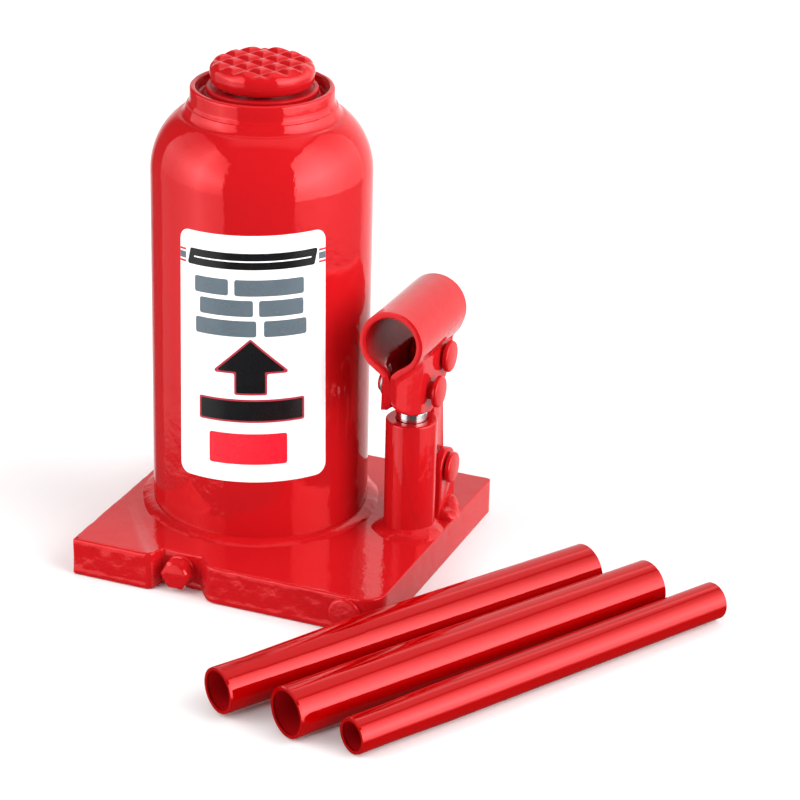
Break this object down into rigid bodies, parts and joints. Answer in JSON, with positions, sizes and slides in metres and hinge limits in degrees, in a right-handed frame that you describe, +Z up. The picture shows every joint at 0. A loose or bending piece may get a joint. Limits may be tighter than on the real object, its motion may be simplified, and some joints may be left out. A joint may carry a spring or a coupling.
{
  "type": "bottle jack",
  "caption": "Low-profile hydraulic bottle jack with a screw saddle, side pump, handle socket and a loose pump handle in sections.",
  "frame": {"origin": "ram axis on the floor, at the underside of the base", "axes": "+Z up along the ram, +X right along the base towards the pump, -Y towards the user and the release valve"},
  "size_m": [0.2363, 0.1984, 0.19],
  "materials": {
    "red_paint": "gloss enamel",
    "polished_steel": "ground and polished",
    "steel": "machined",
    "rubber": "matte nitrile",
    "bronze": "turned",
    "label_film": "printed vinyl film"
  },
  "bodies": {
    "jack_frame": {"base_plate": "red_paint", "tank_shell": "red_paint", "tank_weld": "red_paint", "pump_weld": "red_paint", "lug_weld": "red_paint", "pressure_cylinder": "steel", "cylinder_gasket": "rubber", "top_nut": "red_paint", "top_nut_seal": "rubber", "ram_wiper": "rubber", "pump_cylinder": "red_paint", "pump_packing": "rubber", "pump_gland": "red_paint", "lug_left": "red_paint", "lug_right": "red_paint", "base_pin": "red_paint", "base_pin_clip": "red_paint", "front_plug": "red_paint", "relief_screw": "steel", "relief_spring": "steel", "relief_ball": "steel", "suction_screen": "steel", "delivery_spring": "steel", "delivery_retainer": "steel", "valve_nut": "red_paint", "valve_o_ring": "rubber", "label": "label_film"},
    "ram": {"ram": "polished_steel", "guide_ring": "bronze", "piston_cup": "rubber", "cup_washer": "steel", "piston_nut": "steel"},
    "screw_stop": {"screw_stop_ring": "steel"},
    "screw": {"extension_screw": "steel", "saddle": "red_paint"},
    "pump_plunger": {"plunger": "polished_steel", "plunger_cup": "rubber", "plunger_nut": "steel"},
    "pump_lever": {"handle_socket": "red_paint", "front_pin": "red_paint", "front_pin_clip": "red_paint", "rear_pin": "red_paint", "rear_pin_clip": "red_paint"},
    "link": {"link_bar": "red_paint"},
    "suction_ball": {"suction_ball": "steel"},
    "delivery_ball": {"delivery_ball": "steel"},
    "release_ball": {"release_ball": "steel"},
    "release_valve": {"release_valve": "red_paint"},
    "filler_plug": {"filler_plug": "rubber"},
    "handle_lower": {"handle_lower": "red_paint"},
    "handle_middle": {"handle_middle": "red_paint"},
    "handle_upper": {"handle_upper": "red_paint"}
  },
  "joints": [
    {"name": "ram_lift", "type": "slide", "parent": "jack_frame", "child": "ram", "axis": [0, 0, 1], "range_m": [0, 0.11]},
    {"name": "screw_lift", "type": "slide", "parent": "ram", "child": "screw_stop", "axis": [0, 0, 1], "range_m": [0, 0.0552]},
    {"name": "screw_turn", "type": "hinge", "parent": "screw_stop", "child": "screw", "pos_m": [0, 0, 0.18], "axis": [0, 0, 1], "range_deg": [0, 4950]},
    {"name": "plunger_stroke", "type": "slide", "parent": "jack_frame", "child": "pump_plunger", "axis": [0, 0, 1], "range_m": [0, 0.0125]},
    {"name": "handle_pump", "type": "hinge", "parent": "pump_plunger", "child": "pump_lever", "pos_m": [0.0627, -0.0022, 0.0726], "axis": [-1, 0, 0], "range_deg": [0, 42]},
    {"name": "link_swing", "type": "hinge", "parent": "jack_frame", "child": "link", "pos_m": [0.0627, 0.0158, 0.0339], "axis": [-1, 0, 0], "range_deg": [0, 5]},
    {"name": "suction_lift", "type": "slide", "parent": "jack_frame", "child": "suction_ball", "axis": [0, 0, 1], "range_m": [0, 0.0008]},
    {"name": "delivery_lift", "type": "slide", "parent": "jack_frame", "child": "delivery_ball", "axis": [0, 0, 1], "range_m": [0, 0.0008], "deforming": ["delivery_spring"]},
    {"name": "release_travel", "type": "slide", "parent": "jack_frame", "child": "release_ball", "axis": [0, -1, 0], "range_m": [0, 0.0013]},
    {"name": "release_turn", "type": "hinge", "parent": "release_ball", "child": "release_valve", "pos_m": [-0.0061, -0.058, 0.0073], "axis": [0, -1, 0], "range_deg": [0, 360]},
    {"name": "filler_plug_pull", "type": "slide", "parent": "jack_frame", "child": "filler_plug", "axis": [0, 1, 0], "range_m": [0, 0.03]},
    {"name": "handle_lower_lift", "type": "slide", "parent": "jack_frame", "child": "handle_lower", "axis": [0, 0, 1], "range_m": [0, 0.2]},
    {"name": "handle_middle_lift", "type": "slide", "parent": "jack_frame", "child": "handle_middle", "axis": [0, 0, 1], "range_m": [0, 0.2]},
    {"name": "handle_upper_lift", "type": "slide", "parent": "jack_frame", "child": "handle_upper", "axis": [0, 0, 1], "range_m": [0, 0.2]}
  ],
  "couplings": [
    {"joint": "screw_lift", "follows": "screw_turn", "m_per_rad": 0.00063662},
    {"joint": "plunger_stroke", "follows": "handle_pump", "m_per_rad": 0.0156},
    {"joint": "link_swing", "follows": "handle_pump", "ratio": 0.0869},
    {"joint": "release_travel", "follows": "release_turn", "m_per_rad": 0.00019894}
  ]
}
